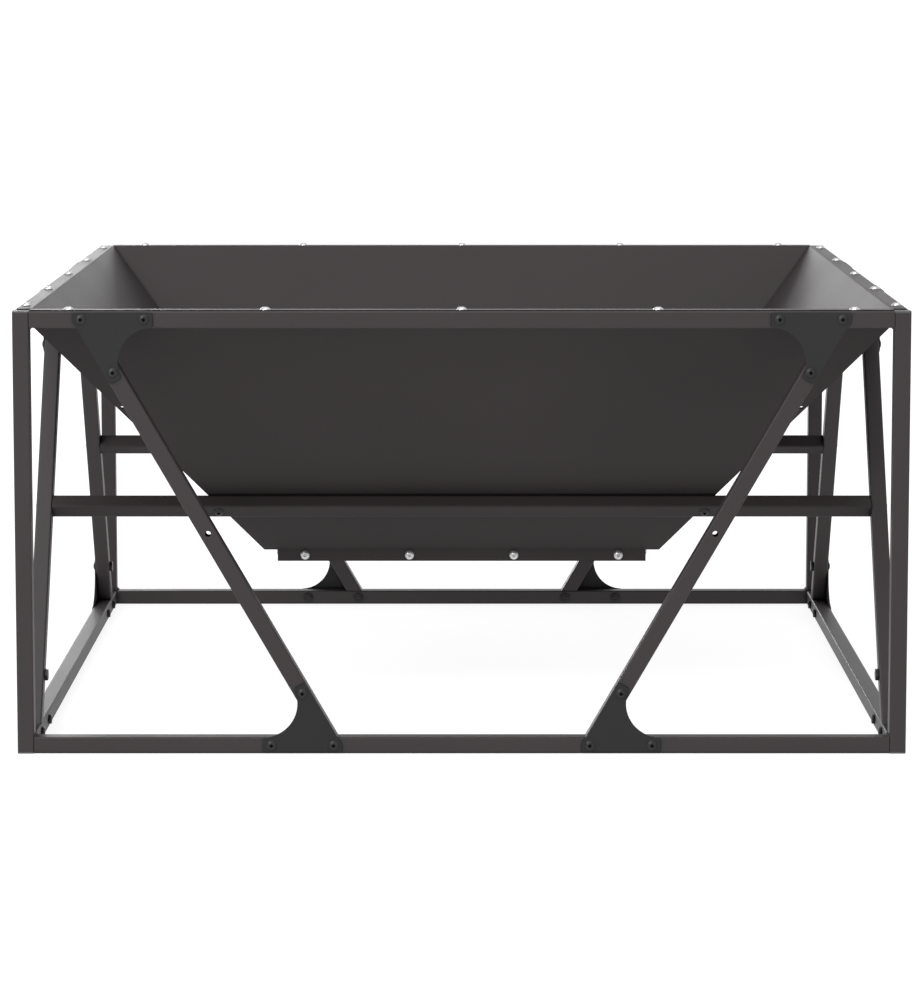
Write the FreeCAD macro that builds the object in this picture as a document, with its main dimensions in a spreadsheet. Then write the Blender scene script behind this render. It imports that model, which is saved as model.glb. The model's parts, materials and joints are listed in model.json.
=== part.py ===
import FreeCAD, Part
import math
import os

import Sketcher
from FreeCAD import Placement, Rotation, Vector

# A square fire pit: a hopper of bent sheet hung in an open frame of square tube, braced on
# every side, with a grate that lifts out. Front is -Y, up is +Z, the origin is on the floor
# under the centre.

DRIVING = [
    ("frame_side", 800, "outer width and depth of the frame"),
    ("frame_height", 400, "height of the frame"),
    ("tube_size", 15, "outer size of every square tube"),
    ("tube_wall", 1.2, "wall of every square tube"),
    ("tube_round", 1.5, "outer corner radius of the tube"),
    ("brace_lean", 30, "angle of a brace from upright, degrees"),
    ("brace_mid", 227, "middle of a brace from the centre of its side"),
    ("gusset_pitch", 56, "between the two rail bolts of a gusset"),
    ("gusset_drop", 47.5, "from the rail bolts of a gusset to its brace bolt"),
    ("gusset_plate", 1.2, "thickness of a gusset"),
    ("gusset_top", 6.6, "from a gusset's rail bolts to its top edge"),
    ("gusset_edge", 7.5, "from a gusset's bolts to its straight edges"),
    ("gusset_end", 7.5, "from a gusset's bolts to its square ends"),
    ("gusset_hollow", 31, "radius of the hollow edge of a gusset"),
    ("gusset_corner", 2, "corner radius of a gusset"),
    ("bolt_hole", 5.3, "clearance hole for a bolt"),
    ("thread_bore", 5, "bore of a nut or a threaded hole"),
    ("bolt_shank", 4.9, "diameter of a bolt's shank"),
    ("head_width", 9.5, "diameter of a button head"),
    ("head_height", 2.75, "height of a button head"),
    ("low_head_height", 1.9, "height of the low button heads on the frame's sides"),
    ("flat_head_height", 0.9, "height of the thin heads on the crossbars' ends"),
    ("socket_width", 3, "hexagon socket across its flats"),
    ("socket_depth", 2.2, "depth of the hexagon socket"),
    ("nut_width", 8, "nut across its flats"),
    ("nut_height", 2.7, "height of a thin nut"),
    ("brace_nut_width", 10, "nut on a brace across its flats"),
    ("brace_nut_height", 3.15, "height of a nut on a brace"),
    ("sheet_gauge", 1, "thickness of the bowl's sheet"),
    ("bend_inside", 1, "inside radius of a bend in the sheet"),
    ("rim_inset", 15.5, "outer face of the slope at the rim, from the frame's outer face"),
    ("rim_edge", 2.7, "edge of the rim flange, from the frame's outer face"),
    ("rim_pitch", 175, "between neighbouring rim bolts"),
    ("lip_half", 176.2, "outer face of the bottom lip, from the centre"),
    ("lip_drop", 11.5, "depth of the bottom lip"),
    ("lip_pitch", 100, "between neighbouring lip bolts"),
    ("seam_reach", 13.3, "sideways reach of a seam flange past the corner of the bowl"),
    ("seam_hole_out", 9, "spare seam hole, outwards of the corner of the bowl"),
    ("seam_hole_down", 97.6, "spare seam hole, below the rim"),
    ("seam_hole_width", 3.5, "diameter of a spare seam hole"),
    ("seat_bolt_out", 228.5, "seat bolt, from the centre"),
    ("clinch_width", 7.8, "diameter of a clinch nut"),
    ("clinch_height", 2.5, "height of a clinch nut"),
    ("insert_width", 7, "diameter of a threaded insert in a rail"),
    ("insert_height", 4.5, "length of a threaded insert in a rail"),
    ("spigot_size", 12, "square bar inside the ends of a side rail"),
    ("spigot_length", 30, "length of that bar"),
    ("corner_bolt_in", 8, "corner bolt, from the end of a side rail"),
    ("plug_size", 12.2, "square plug inside a tube's end"),
    ("bar_plug_length", 20, "length of the threaded plug in a crossbar's end"),
    ("cap_head", 1.5, "thickness of a post cap's head"),
    ("cap_plug", 10, "depth of a post cap's plug"),
    ("fit_gap", 0.3, "gap left between pieces that only lie together"),
    ("grate_side", 400, "width and depth of the grate"),
    ("grate_flat", 4, "thickness of the grate's flat bar"),
    ("grate_depth", 20, "height of the grate's flat bar"),
    ("grate_rod", 8, "diameter of the grate's rods"),
    ("grate_pitch", 28, "between neighbouring rods"),
    ("handle_half", 50, "half the width of a lifting handle"),
    ("handle_rise", 50, "height of a lifting handle above the grate"),
    ("handle_bend", 18, "bend radius of a lifting handle"),
]

doc = FreeCAD.newDocument("fire_pit")
dims = doc.addObject("Spreadsheet::Sheet", "dims")
for row, (alias, value, note) in enumerate(DRIVING, start=1):
    dims.set(f"A{row}", note)
    dims.set(f"B{row}", str(value))
    dims.setAlias(f"B{row}", alias)
doc.recompute()


def size(alias):
    """The number in the sheet's cell of that name."""
    return float(dims.get(alias))


# ------------------------------------------------------------------ places worked out

UP = Vector(0, 0, 1)
HALF = size("frame_side") / 2
HEIGHT = size("frame_height")
TUBE = size("tube_size")
MIDDLE = HEIGHT / 2
RAIL_AT = HALF - TUBE / 2
INNER = HALF - TUBE
LEAN = math.radians(size("brace_lean"))
RAIL_HEIGHTS = {"bottom": TUBE / 2, "top": HEIGHT - TUBE / 2}
GAUGE = size("sheet_gauge")

# The four sides: outward normal and the level direction along the side.
SIDES = {
    "front": (Vector(0, -1, 0), Vector(1, 0, 0)),
    "rear": (Vector(0, 1, 0), Vector(1, 0, 0)),
    "left": (Vector(-1, 0, 0), Vector(0, 1, 0)),
    "right": (Vector(1, 0, 0), Vector(0, 1, 0)),
}
ENDS = {
    "front": ("left", "right"),
    "rear": ("left", "right"),
    "left": ("front", "rear"),
    "right": ("front", "rear"),
}
# Going up, the braces of the front and rear lean outwards and those of the two sides inwards.
OUTWARD_GOING_UP = {"front": 1, "rear": 1, "left": -1, "right": -1}

# A gusset's brace bolt stands this far from mid height, so its place along the side is:
BOLT_RISE = MIDDLE - TUBE / 2 - size("gusset_drop")
GUSSET_FAR = size("brace_mid") + BOLT_RISE * math.tan(LEAN)
GUSSET_NEAR = size("brace_mid") - BOLT_RISE * math.tan(LEAN)
RISE_CELL = "(dims.frame_height / 2 - dims.tube_size / 2 - dims.gusset_drop)"
FAR_CELL = f"(dims.brace_mid + {RISE_CELL} * tan(dims.brace_lean))"
NEAR_CELL = f"(dims.brace_mid - {RISE_CELL} * tan(dims.brace_lean))"

# The slope of the bowl passes through the rim line and lies flat on a crossbar, whose centre
# is at mid height and at brace_mid. That fixes its angle above the floor.
rim_out = HALF - size("rim_inset")
to_bar = Vector(rim_out - size("brace_mid"), HEIGHT - MIDDLE, 0)
SLOPE = math.atan2(to_bar.y, to_bar.x) - math.asin(TUBE / 2 / to_bar.Length)
INSET_PER_DROP = 1 / math.tan(SLOPE)
SHEET_ACROSS = GAUGE / math.sin(SLOPE)
FOLD_HEIGHT = HEIGHT - (rim_out - size("lip_half")) / INSET_PER_DROP
LIP_BOTTOM = FOLD_HEIGHT - size("lip_drop")
LIP_BOLT_HEIGHT = FOLD_HEIGHT - size("lip_drop") / 2


def slope_out(height):
    """Distance of the slope's outer face from the centre, at a height."""
    return rim_out - INSET_PER_DROP * (HEIGHT - height)


def slope_inward(side):
    """Unit normal of a slope, pointing into the bowl."""
    normal = SIDES[side][0]
    return normal * -math.sin(SLOPE) + UP * math.cos(SLOPE)


# ------------------------------------------------------------------ making bodies


def new_body(label):
    body = doc.addObject("PartDesign::Body", label)
    body.Label = label
    return body


def sketch_on(body, role, name):
    """A sketch on one of the body's own origin planes."""
    plane = next(f for f in body.Origin.OriginFeatures if f.Role == role)
    sketch = body.newObject("Sketcher::SketchObject", name)
    sketch.AttachmentSupport = (plane, [""])
    sketch.MapMode = "FlatFace"
    return sketch


def bind(sketch, constraint, expression):
    """Adds a constraint and lets the sheet drive its value."""
    index = sketch.addConstraint(constraint)
    sketch.setExpression(f"Constraints[{index}]", expression)


def place_point(sketch, geometry, point, across, along):
    """Holds a point at two distances from the sketch's origin."""
    for way, expression in (("DistanceX", across), ("DistanceY", along)):
        now = float(sketch.evalExpression(expression))
        bind(sketch, Sketcher.Constraint(way, -1, 1, geometry, point, now), expression)


def add_circles(sketch, centres, diameter):
    """Circles of one diameter at pairs of expressions."""
    for number, (across, along) in enumerate(centres):
        start = Vector(3.0 * number, 2.0 * number, 0)
        circle = sketch.addGeometry(Part.Circle(start, UP, 2.0))
        bind(sketch, Sketcher.Constraint("Diameter", circle, 4.0), diameter)
        place_point(sketch, circle, 3, across, along)


def add_polygon(sketch, corners):
    """A closed outline through corners given as pairs of expressions."""
    count = len(corners)
    turn = 2 * math.pi / count
    ring = [Vector(50 * math.cos(turn * i), 50 * math.sin(turn * i), 0) for i in range(count)]
    lines = []
    for i in range(count):
        lines.append(sketch.addGeometry(Part.LineSegment(ring[i], ring[(i + 1) % count])))
    for i in range(count):
        following = lines[(i + 1) % count]
        sketch.addConstraint(Sketcher.Constraint("Coincident", lines[i], 2, following, 1))
    for line, (across, along) in zip(lines, corners):
        place_point(sketch, line, 1, across, along)


def add_square(sketch, width, radius, width_now, radius_now):
    """A square centred on the origin with rounded corners, driven by two expressions."""
    half = width_now / 2
    straight = half - radius_now
    lines = []
    arcs = []
    for quarter in range(4):
        turn = Rotation(UP, 90 * quarter)
        start = turn.multVec(Vector(-straight, -half, 0))
        end = turn.multVec(Vector(straight, -half, 0))
        centre = turn.multVec(Vector(straight, -straight, 0))
        lines.append(sketch.addGeometry(Part.LineSegment(start, end)))
        circle = Part.Circle(centre, UP, radius_now)
        first = math.radians(90 * (quarter - 1))
        arcs.append(sketch.addGeometry(Part.ArcOfCircle(circle, first, first + math.pi / 2)))
    for quarter in range(4):
        line = lines[quarter]
        arc = arcs[quarter]
        following = lines[(quarter + 1) % 4]
        sketch.addConstraint(Sketcher.Constraint("Tangent", line, 2, arc, 1))
        sketch.addConstraint(Sketcher.Constraint("Tangent", arc, 2, following, 1))
        level = "Horizontal" if quarter % 2 == 0 else "Vertical"
        sketch.addConstraint(Sketcher.Constraint(level, line))
    for arc in arcs[1:]:
        sketch.addConstraint(Sketcher.Constraint("Equal", arcs[0], arc))
    sketch.addConstraint(Sketcher.Constraint("Symmetric", lines[0], 1, lines[2], 1, -1, 1))
    bind(sketch, Sketcher.Constraint("Radius", arcs[0], radius_now), radius)
    bind(sketch, Sketcher.Constraint("DistanceY", lines[0], 1, lines[2], 1, width_now), width)
    bind(sketch, Sketcher.Constraint("DistanceX", lines[3], 1, lines[1], 1, width_now), width)


def pad(body, sketch, length, both_ways=False, reverse=False):
    feature = body.newObject("PartDesign::Pad", f"Pad_{sketch.Name}")
    feature.Profile = sketch
    feature.setExpression("Length", length)
    feature.SideType = "Symmetric" if both_ways else "One side"
    feature.Reversed = reverse
    return feature


def cut_through(body, sketch, both_ways=True, reverse=False):
    """Cuts a sketch through the body, to one side of its plane or to both."""
    feature = body.newObject("PartDesign::Pocket", f"Cut_{sketch.Name}")
    feature.Profile = sketch
    feature.Type = "ThroughAll"
    feature.SideType = "Symmetric" if both_ways else "One side"
    feature.Reversed = reverse
    return feature


def turned(x_axis, z_axis):
    """The rotation that takes local X and Z to two square directions."""
    return Rotation(x_axis, z_axis.cross(x_axis), z_axis, "ZXY")


# ------------------------------------------------------------------ the frame's tubes


def tube_body(label, length, through=(), above=(), outside=()):
    """A square tube along its own Z, centred. Its X faces out of the frame and its Y up.

    through: places along Z of bolt holes through both walls, along X.
    above: places of insert holes in the wall that faces up.
    outside: places of bolt holes in the outer wall only.
    """
    body = new_body(label)
    section = sketch_on(body, "XY_Plane", f"{label}_section")
    wall = size("tube_wall")
    rounding = size("tube_round")
    add_square(section, "dims.tube_size", "dims.tube_round", TUBE, rounding)
    add_square(
        section,
        "dims.tube_size - 2 * dims.tube_wall",
        "dims.tube_round - dims.tube_wall",
        TUBE - 2 * wall,
        rounding - wall,
    )
    pad(body, section, length, both_ways=True)
    if through:
        holes = sketch_on(body, "YZ_Plane", f"{label}_bolt_holes")
        add_circles(holes, [("0", place) for place in through], "dims.bolt_hole")
        cut_through(body, holes)
    if above:
        holes = sketch_on(body, "XZ_Plane", f"{label}_insert_holes")
        add_circles(holes, [("0", place) for place in above], "dims.insert_width")
        cut_through(body, holes, both_ways=False)
    if outside:
        holes = sketch_on(body, "YZ_Plane", f"{label}_end_holes")
        add_circles(holes, [("0", place) for place in outside], "dims.bolt_hole")
        cut_through(body, holes, both_ways=False, reverse=True)
    return body


def mirrored(*places):
    """Each place, and the same place on the other side of the middle."""
    return [f"{sign}({place})" for place in places for sign in ("", "-")]


def gusset_bolts_at(centre):
    """Where a gusset's two rail bolts fall along a rail."""
    return mirrored(f"{centre} - dims.gusset_pitch / 2", f"{centre} + dims.gusset_pitch / 2")


RIM_PLACES = ["0"] + mirrored("dims.rim_pitch", "2 * dims.rim_pitch")
RAIL_LENGTH = "dims.frame_side - 2 * dims.tube_size"
END_PLACES = mirrored("dims.frame_side / 2 - dims.tube_size - dims.corner_bolt_in")

pieces = {}


def make_posts():
    for end_y, y_sign in (("front", -1), ("rear", 1)):
        for end_x, x_sign in (("left", -1), ("right", 1)):
            label = f"post_{end_y}_{end_x}"
            post = tube_body(label, "dims.frame_height - 2 * dims.cap_head")
            post.Placement = Placement(
                Vector(x_sign * RAIL_AT, y_sign * RAIL_AT, MIDDLE), Rotation()
            )
            pieces[label] = post


def make_rails():
    for side, (normal, along) in SIDES.items():
        joined_by_spigots = side in ("left", "right")
        for level, height in RAIL_HEIGHTS.items():
            leans_out = OUTWARD_GOING_UP[side] == 1
            is_far = leans_out == (level == "top")
            label = f"{level}_rail_{side}"
            rail = tube_body(
                label,
                RAIL_LENGTH,
                through=gusset_bolts_at(FAR_CELL if is_far else NEAR_CELL),
                above=RIM_PLACES if level == "top" else (),
                outside=END_PLACES if joined_by_spigots else (),
            )
            rail.Placement = Placement(
                normal * RAIL_AT + UP * height, turned(normal, normal.cross(UP))
            )
            pieces[label] = rail


def brace_body(label):
    """A tube cut flush with the rails at both ends when it stands at its lean."""
    clear = "(dims.frame_height - 2 * dims.tube_size)"
    long = f"{clear} / cos(dims.brace_lean) + 2 * dims.tube_size"
    gusset_hole = f"{RISE_CELL} / cos(dims.brace_lean)"
    brace = tube_body(label, long, through=["0"] + mirrored(gusset_hole))
    middle = f"{clear} / 2 / cos(dims.brace_lean)"
    skew = "dims.tube_size * tan(dims.brace_lean)"
    beyond = f"{middle} + 3 * dims.tube_size"
    for name, sign in (("head", ""), ("foot", "-")):
        ends = sketch_on(brace, "YZ_Plane", f"{label}_{name}")
        corners = [
            ("-dims.tube_size", f"{sign}({middle}) + {skew}"),
            ("dims.tube_size", f"{sign}({middle}) - {skew}"),
            ("dims.tube_size", f"{sign}({beyond})"),
            ("-dims.tube_size", f"{sign}({beyond})"),
        ]
        add_polygon(ends, corners)
        cut_through(brace, ends)
    return brace


def make_braces():
    for side, (normal, along) in SIDES.items():
        for end, end_sign in zip(ENDS[side], (-1, 1)):
            label = f"brace_{side}_{end}"
            outwards = along * end_sign * OUTWARD_GOING_UP[side]
            upright = UP * math.cos(LEAN) + outwards * math.sin(LEAN)
            across = UP * math.sin(LEAN) - outwards * math.cos(LEAN)
            brace = brace_body(label)
            brace.Placement = Placement(
                normal * RAIL_AT + along * (end_sign * size("brace_mid")) + UP * MIDDLE,
                turned(across.cross(upright), upright),
            )
            pieces[label] = brace


def make_crossbars():
    for side in ("front", "rear"):
        normal, along = SIDES[side]
        label = f"crossbar_{side}"
        bar = tube_body(label, RAIL_LENGTH, through=mirrored("dims.seat_bolt_out"))
        outward = slope_inward(side) * -1
        bar.Placement = Placement(
            normal * size("brace_mid") + UP * MIDDLE, turned(outward, along)
        )
        pieces[label] = bar


# ------------------------------------------------------------------ gussets


def gusset_body(label):
    """A three-hole plate in its own YZ plane, thick along +X. Its long slanted edge is on -Y.

    The two rail bolts are on Z = 0 and the brace bolt is below them. The top edge is straight,
    the slanted edge follows the brace, and a hollow edge joins the brace end to the rail end
    on +Y. Each end is cut square.
    """
    body = new_body(label)
    outline = sketch_on(body, "YZ_Plane", f"{label}_outline")
    half = "(dims.gusset_pitch / 2 + dims.gusset_end)"
    lean_sin = "sin(dims.brace_lean)"
    lean_cos = "cos(dims.brace_lean)"
    climb = f"({half} - dims.gusset_edge * {lean_cos}) / {lean_sin} * {lean_cos}"
    corners = [
        (half, "dims.gusset_top"),
        (f"-{half}", "dims.gusset_top"),
        (f"-{half}", f"{climb} - dims.gusset_drop - dims.gusset_edge * {lean_sin}"),
        (
            f"dims.gusset_end * {lean_sin} - dims.gusset_edge * {lean_cos}",
            f"-dims.gusset_drop - dims.gusset_end * {lean_cos} - dims.gusset_edge * {lean_sin}",
        ),
        (half, "-dims.gusset_edge"),
    ]
    # A rough outline of the same sense; the constraints then put it in its place.
    reach = size("gusset_pitch") / 2 + size("gusset_end")
    edge = size("gusset_edge")
    drop = size("gusset_drop")
    hollow_radius = size("gusset_hollow")
    rough = [
        Vector(reach, size("gusset_top"), 0),
        Vector(-reach, size("gusset_top"), 0),
        Vector(-reach, 0, 0),
        Vector(0, -drop - 1.3 * edge, 0),
        Vector(edge, -drop - edge, 0),
        Vector(reach, -edge, 0),
    ]
    order = [(0, 1), (1, 2), (2, 3), (3, 4), (5, 0)]
    top, end_a, slant, foot, end_b = [
        outline.addGeometry(Part.LineSegment(rough[first], rough[second]))
        for first, second in order
    ]
    centre = Vector(reach, -edge - hollow_radius, 0)
    sweep = Part.ArcOfCircle(Part.Circle(centre, UP, hollow_radius), math.pi / 2, 3.6)
    hollow = outline.addGeometry(sweep)
    joints = [
        (top, 2, end_a, 1),
        (end_a, 2, slant, 1),
        (slant, 2, foot, 1),
        (foot, 2, hollow, 2),
        (hollow, 1, end_b, 1),
        (end_b, 2, top, 1),
    ]
    for joint in joints:
        outline.addConstraint(Sketcher.Constraint("Coincident", *joint))
    outline.addConstraint(Sketcher.Constraint("Perpendicular", slant, foot))
    for line, (across, along) in zip((top, end_a, slant, foot, end_b), corners):
        place_point(outline, line, 1, across, along)
    place_point(outline, hollow, 3, half, "-dims.gusset_edge - dims.gusset_hollow")
    plate = pad(body, outline, "dims.gusset_plate")
    doc.recompute()
    rounding = body.newObject("PartDesign::Fillet", f"{label}_corners")
    rounding.Base = (plate, upright_edges(plate.Shape))
    rounding.setExpression("Radius", "dims.gusset_corner")
    bolts = [
        ("-dims.gusset_pitch / 2", "0"),
        ("dims.gusset_pitch / 2", "0"),
        ("0", "-dims.gusset_drop"),
    ]
    holes = sketch_on(body, "YZ_Plane", f"{label}_holes")
    add_circles(holes, bolts, "dims.bolt_hole")
    cut_through(body, holes)
    return body


def upright_edges(shape):
    """Names of a plate's straight edges that run through its thickness, along X."""
    names = []
    for number, edge in enumerate(shape.Edges, start=1):
        first, last = [vertex.Point for vertex in edge.Vertexes]
        if (last - first).cross(Vector(1, 0, 0)).Length < 1e-6:
            names.append(f"Edge{number}")
    return names


def gusset_places():
    """Every gusset: name, side, direction of its straight edge, way to its rail, middle."""
    for side, (normal, along) in SIDES.items():
        for level, height in RAIL_HEIGHTS.items():
            is_far = (OUTWARD_GOING_UP[side] == 1) == (level == "top")
            reach = GUSSET_FAR if is_far else GUSSET_NEAR
            to_rail = UP if level == "top" else UP * -1
            for end, end_sign in zip(ENDS[side], (-1, 1)):
                straight = along * end_sign * (1 if is_far else -1)
                middle = normal * HALF + along * (end_sign * reach) + UP * height
                yield f"gusset_{side}_{level}_{end}", normal, straight, to_rail, middle


def make_gussets():
    for label, normal, straight, to_rail, middle in gusset_places():
        gusset = gusset_body(label)
        facing = (straight * -1).cross(to_rail)
        turned_over = facing.dot(normal) < 0
        lift = size("gusset_plate") if turned_over else 0
        gusset.Placement = Placement(middle + normal * lift, turned(facing, to_rail))
        pieces[label] = gusset


# ------------------------------------------------------------------ fasteners


def bolt_shape(label, length, head="head_height"):
    """A button-head bolt: head on Z = 0 and up, shank down. Socket in the head."""
    body = new_body(label)
    profile = sketch_on(body, "XZ_Plane", f"{label}_profile")
    radius = size("head_width") / 2
    height = size(head)
    dome = (radius**2 + height**2) / 2 / height
    shank = size("bolt_shank") / 2
    flat = size("socket_width") * 0.7
    crown = math.sqrt(dome**2 - flat**2) - (dome - height)
    tip = shank * 0.8
    points = [
        Vector(0, crown, 0),
        Vector(0, -length, 0),
        Vector(tip, -length, 0),
        Vector(shank, -length + (shank - tip), 0),
        Vector(shank, 0, 0),
        Vector(radius, 0, 0),
    ]
    for start, end in zip(points, points[1:]):
        profile.addGeometry(Part.LineSegment(start, end))
    middle_out = (radius + flat) / 2
    middle_up = math.sqrt(dome**2 - middle_out**2) - (dome - height)
    edge = Vector(flat, crown, 0)
    profile.addGeometry(Part.Arc(points[-1], Vector(middle_out, middle_up, 0), edge))
    profile.addGeometry(Part.LineSegment(edge, points[0]))
    turn = body.newObject("PartDesign::Revolution", f"{label}_turned")
    turn.Profile = profile
    turn.ReferenceAxis = (profile, ["V_Axis"])
    turn.Angle = 360
    socket = sketch_on(body, "XY_Plane", f"{label}_socket")
    socket.AttachmentOffset = Placement(Vector(0, 0, crown), Rotation())
    corner = size("socket_width") / 2 / math.cos(math.pi / 6)
    ring = [Rotation(UP, 60 * i).multVec(Vector(corner, 0, 0)) for i in range(7)]
    for start, end in zip(ring, ring[1:]):
        socket.addGeometry(Part.LineSegment(start, end))
    pocket = body.newObject("PartDesign::Pocket", f"{label}_pocket")
    pocket.Profile = socket
    pocket.setExpression("Length", "dims.socket_depth")
    return body


def nut_shape(label, width="nut_width", height="nut_height"):
    """A hexagon nut standing on Z = 0, its flats on X."""
    body = new_body(label)
    face = sketch_on(body, "XY_Plane", f"{label}_face")
    corner = size(width) / 2 / math.cos(math.pi / 6)
    ring = [Rotation(UP, 60 * i + 30).multVec(Vector(corner, 0, 0)) for i in range(7)]
    for start, end in zip(ring, ring[1:]):
        face.addGeometry(Part.LineSegment(start, end))
    add_circles(face, [("0", "0")], "dims.thread_bore")
    pad(body, face, f"dims.{height}")
    return body


def sleeve_shape(label, width, height, reverse=False):
    """A round threaded piece on Z = 0, standing up or hanging down."""
    body = new_body(label)
    face = sketch_on(body, "XY_Plane", f"{label}_face")
    add_circles(face, [("0", "0")], width)
    add_circles(face, [("0", "0")], "dims.thread_bore")
    pad(body, face, height, reverse=reverse)
    return body


def group(label, copied, seats):
    """One node of identical pieces: the copied body put on every seat."""
    doc.recompute()
    solids = []
    for number, (point, z_axis, x_axis, spin) in enumerate(seats):
        shape = copied.Shape.copy()
        about = Rotation(UP, spin * number)
        shape.Placement = Placement(point, turned(x_axis, z_axis).multiply(about))
        solids.append(shape)
    node = doc.addObject("Part::Feature", label)
    node.Label = label
    node.Shape = Part.makeCompound(solids)
    pieces[label] = node


BOLT_TURN = 23


def make_gusset_fasteners():
    """The three bolts of every gusset and the nuts on the inner faces of rails and braces."""
    bolts = []
    rail_nuts = []
    brace_nuts = []
    for _, normal, straight, to_rail, middle in gusset_places():
        along = straight * (size("gusset_pitch") / 2)
        down = to_rail * -size("gusset_drop")
        for offset, nuts in ((along, rail_nuts), (along * -1, rail_nuts), (down, brace_nuts)):
            point = middle + offset
            bolts.append((point + normal * size("gusset_plate"), normal, straight, BOLT_TURN))
            nuts.append((point - normal * TUBE, normal * -1, to_rail, 0))
    reach = size("gusset_plate") + TUBE + size("nut_height") + size("fit_gap")
    group("gusset_bolts", bolt_shape("gusset_bolt", reach, "low_head_height"), bolts)
    group("rail_nuts", nut_shape("rail_nut"), rail_nuts)
    brace_nut = nut_shape("brace_nut", "brace_nut_width", "brace_nut_height")
    group("brace_nuts", brace_nut, brace_nuts)


def make_corner_joints():
    """Bars welded to the posts inside the side rails' ends, and the bolts that hold them."""
    bars = []
    bolts = []
    for side in ("left", "right"):
        normal, along = SIDES[side]
        for height in RAIL_HEIGHTS.values():
            for sign in (-1, 1):
                end = normal * RAIL_AT + along * (sign * INNER) + UP * height
                bars.append((end, along * -sign, normal, 0))
                seat = end + normal * (TUBE / 2) - along * (sign * size("corner_bolt_in"))
                bolts.append((seat, normal, along, BOLT_TURN))
    bar = new_body("corner_bar")
    section = sketch_on(bar, "XY_Plane", "corner_bar_section")
    add_square(section, "dims.spigot_size", "dims.tube_round", size("spigot_size"), 1.5)
    pad(bar, section, "dims.spigot_length")
    thread = sketch_on(bar, "YZ_Plane", "corner_bar_thread")
    add_circles(thread, [("0", "dims.corner_bolt_in")], "dims.thread_bore")
    cut_through(bar, thread)
    group("corner_spigots", bar, bars)
    group("corner_bolts", bolt_shape("corner_bolt", TUBE / 2, "low_head_height"), bolts)


def make_crossbar_ends():
    """Threaded plugs in the crossbars' ends and the bolts through the side braces."""
    plugs = []
    bolts = []
    for bar_side in ("front", "rear"):
        face = slope_inward(bar_side)
        for side in ("left", "right"):
            normal = SIDES[side][0]
            centre = SIDES[bar_side][0] * size("brace_mid") + UP * MIDDLE
            plugs.append((centre + normal * INNER, normal * -1, face, 0))
            bolts.append((centre + normal * HALF, normal, UP, BOLT_TURN))
    plug = new_body("bar_plug")
    section = sketch_on(plug, "XY_Plane", "bar_plug_section")
    add_square(section, "dims.plug_size", "dims.tube_wall", size("plug_size"), 1.2)
    add_circles(section, [("0", "0")], "dims.thread_bore")
    pad(plug, section, "dims.bar_plug_length")
    group("crossbar_plugs", plug, plugs)
    reach = TUBE + size("bar_plug_length") * 0.7
    bolt = bolt_shape("crossbar_end_bolt", reach, "flat_head_height")
    group("crossbar_end_bolts", bolt, bolts)


def make_seat_fasteners():
    """Bolts through the crossbars into the seam flanges, and their round clinch nuts."""
    bolts = []
    nuts = []
    for side in ("front", "rear"):
        normal, along = SIDES[side]
        inward = slope_inward(side)
        centre = normal * size("brace_mid") + UP * MIDDLE
        for sign in (-1, 1):
            point = centre + along * (sign * size("seat_bolt_out"))
            bolts.append((point - inward * (TUBE / 2), inward * -1, along, BOLT_TURN))
            nuts.append((point + inward * (TUBE / 2 + 2 * GAUGE), inward, along, 0))
    reach = TUBE + 2 * GAUGE + size("clinch_height")
    group("seat_bolts", bolt_shape("seat_bolt", reach), bolts)
    nut = sleeve_shape("clinch_nut", "dims.clinch_width", "dims.clinch_height")
    group("seat_clinch_nuts", nut, nuts)


def make_rim_fasteners():
    """Five bolts along every rim flange, each in a threaded insert in the rail."""
    bolts = []
    inserts = []
    for normal, along in SIDES.values():
        for number in range(-2, 3):
            point = normal * RAIL_AT + along * (number * size("rim_pitch")) + UP * HEIGHT
            bolts.append((point + UP * GAUGE, UP, along, BOLT_TURN))
            inserts.append((point, UP, along, 0))
    group("rim_bolts", bolt_shape("rim_bolt", size("insert_height") + GAUGE), bolts)
    insert = sleeve_shape("rail_insert", "dims.insert_width", "dims.insert_height", True)
    group("rail_inserts", insert, inserts)


def make_lip_fasteners():
    """Four bolts along every bottom lip, and thin nuts inside the bottom plate's flange."""
    bolts = []
    nuts = []
    flange_inside = size("lip_half") - 2 * GAUGE - size("fit_gap") / 2
    for normal, along in SIDES.values():
        for place in (-1.5, -0.5, 0.5, 1.5):
            spot = along * (place * size("lip_pitch")) + UP * LIP_BOLT_HEIGHT
            bolts.append((spot + normal * size("lip_half"), normal, along, BOLT_TURN))
            nuts.append((spot + normal * flange_inside, normal * -1, UP, 0))
    reach = 2 * GAUGE + size("nut_height") + 2 * size("fit_gap")
    group("lip_bolts", bolt_shape("lip_bolt", reach), bolts)
    group("lip_nuts", nut_shape("lip_nut"), nuts)


def make_post_caps():
    """A flat cap with a square plug for the top and the foot of every post."""
    cap = new_body("cap")
    head = sketch_on(cap, "XY_Plane", "cap_face")
    add_square(head, "dims.tube_size", "dims.tube_round", TUBE, size("tube_round"))
    pad(cap, head, "dims.cap_head")
    plug = sketch_on(cap, "XY_Plane", "cap_stem")
    add_square(plug, "dims.plug_size", "dims.tube_wall", size("plug_size"), 1.2)
    pad(cap, plug, "dims.cap_plug", reverse=True)
    seats = []
    thickness = size("cap_head")
    for x_sign in (-1, 1):
        for y_sign in (-1, 1):
            foot = Vector(x_sign * RAIL_AT, y_sign * RAIL_AT, thickness)
            head_at = foot + UP * (HEIGHT - 2 * thickness)
            seats.append((head_at, UP, Vector(1, 0, 0), 0))
            seats.append((foot, UP * -1, Vector(1, 0, 0), 0))
    group("post_caps", cap, seats)


# ------------------------------------------------------------------ the bowl


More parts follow.
